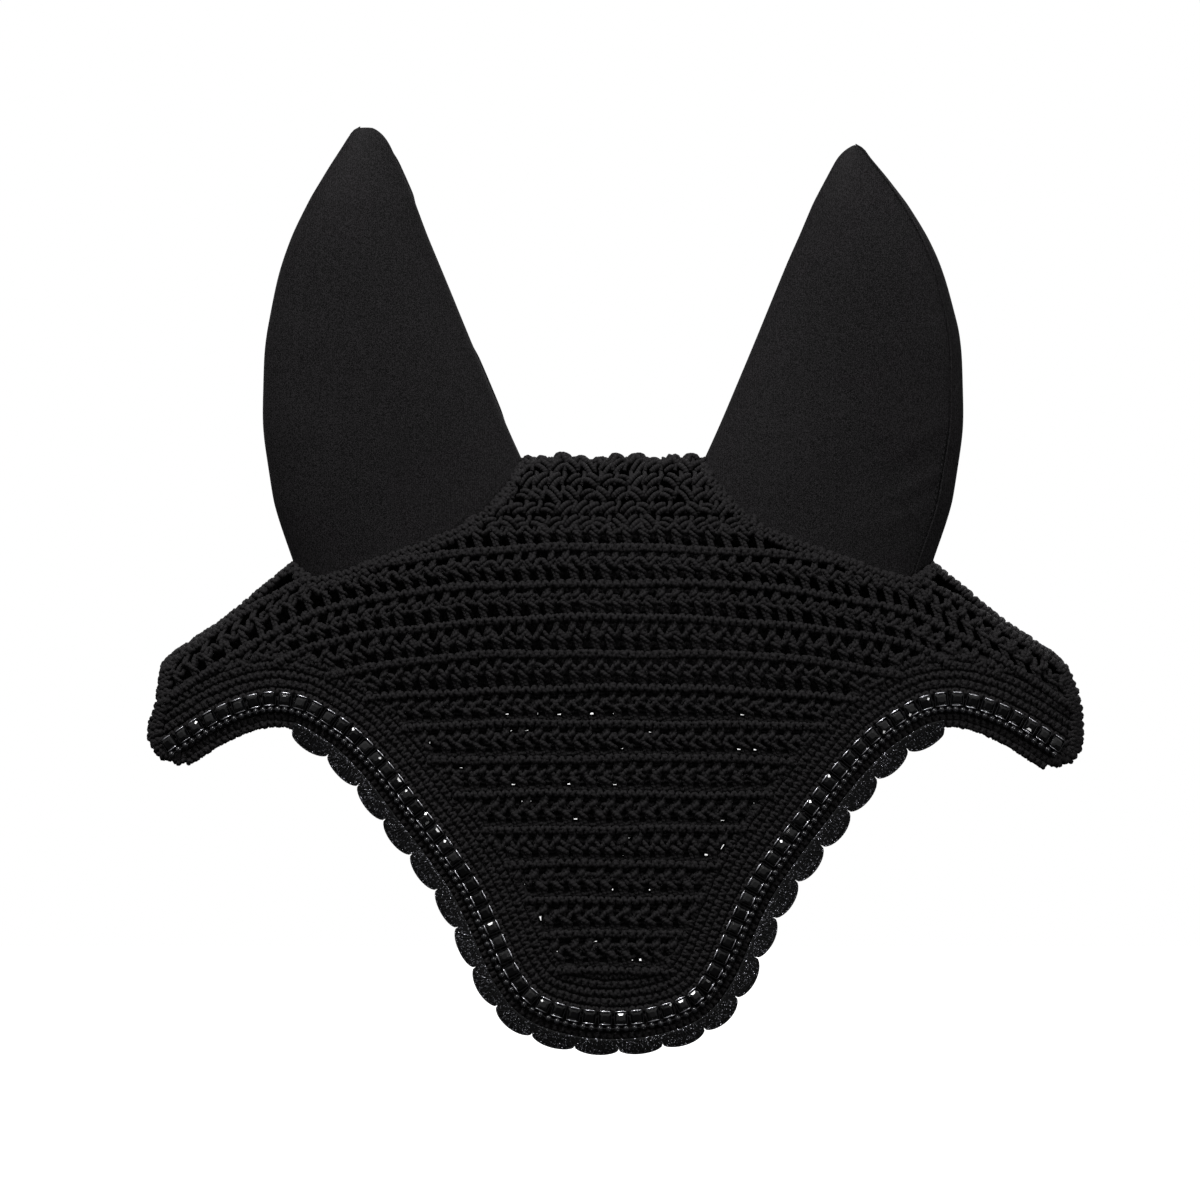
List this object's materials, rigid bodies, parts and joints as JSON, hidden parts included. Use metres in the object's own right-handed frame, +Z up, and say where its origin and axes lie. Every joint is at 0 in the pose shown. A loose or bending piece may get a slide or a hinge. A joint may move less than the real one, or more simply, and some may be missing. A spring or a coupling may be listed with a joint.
{
  "type": "horse ear bonnet",
  "caption": "Crocheted ear bonnet for a horse's head, an open hood with two fabric ear covers, a stone chain, beads and scalloped lace along its lower edge.",
  "frame": {"origin": "inside the top of the crown, in the middle, where the bonnet sits on the poll", "axes": "+Z up along the ears, +X across the head, the brow side faces -Y"},
  "size_m": [0.432, 0.0795, 0.426],
  "materials": {
    "crochet": "matt cotton yarn",
    "ear_fabric": "fine knit with a soft sheen",
    "lace": "corded lace with glitter thread",
    "cup_metal": "polished dark plating",
    "stone": "faceted jet",
    "bead": "gloss"
  },
  "bodies": {
    "root": {"front_net": "crochet", "front_border": "crochet", "rolled_edge": "crochet", "poll_panel": "crochet", "poll_border": "crochet", "left_ear_rim": "crochet", "right_ear_rim": "crochet", "stone_cups": "cup_metal", "stones": "stone", "beads": "bead", "scallop_lace": "lace"},
    "left_ear": {"left_ear_front": "ear_fabric", "left_ear_back": "ear_fabric", "left_ear_seam": "ear_fabric"},
    "right_ear": {"right_ear_front": "ear_fabric", "right_ear_back": "ear_fabric", "right_ear_seam": "ear_fabric"}
  },
  "joints": [
    {"name": "left_ear_tilt", "type": "hinge", "parent": "root", "child": "left_ear", "pos_m": [-0.0415, 0, 0.0046], "axis": [-0.9122, 0, -0.4097], "range_deg": [-25, 60], "stiffness_Nm_per_rad": 0.15},
    {"name": "right_ear_tilt", "type": "hinge", "parent": "root", "child": "right_ear", "pos_m": [0.0415, 0, 0.0046], "axis": [-0.9122, 0, 0.4097], "range_deg": [-25, 60], "stiffness_Nm_per_rad": 0.15}
  ]
}
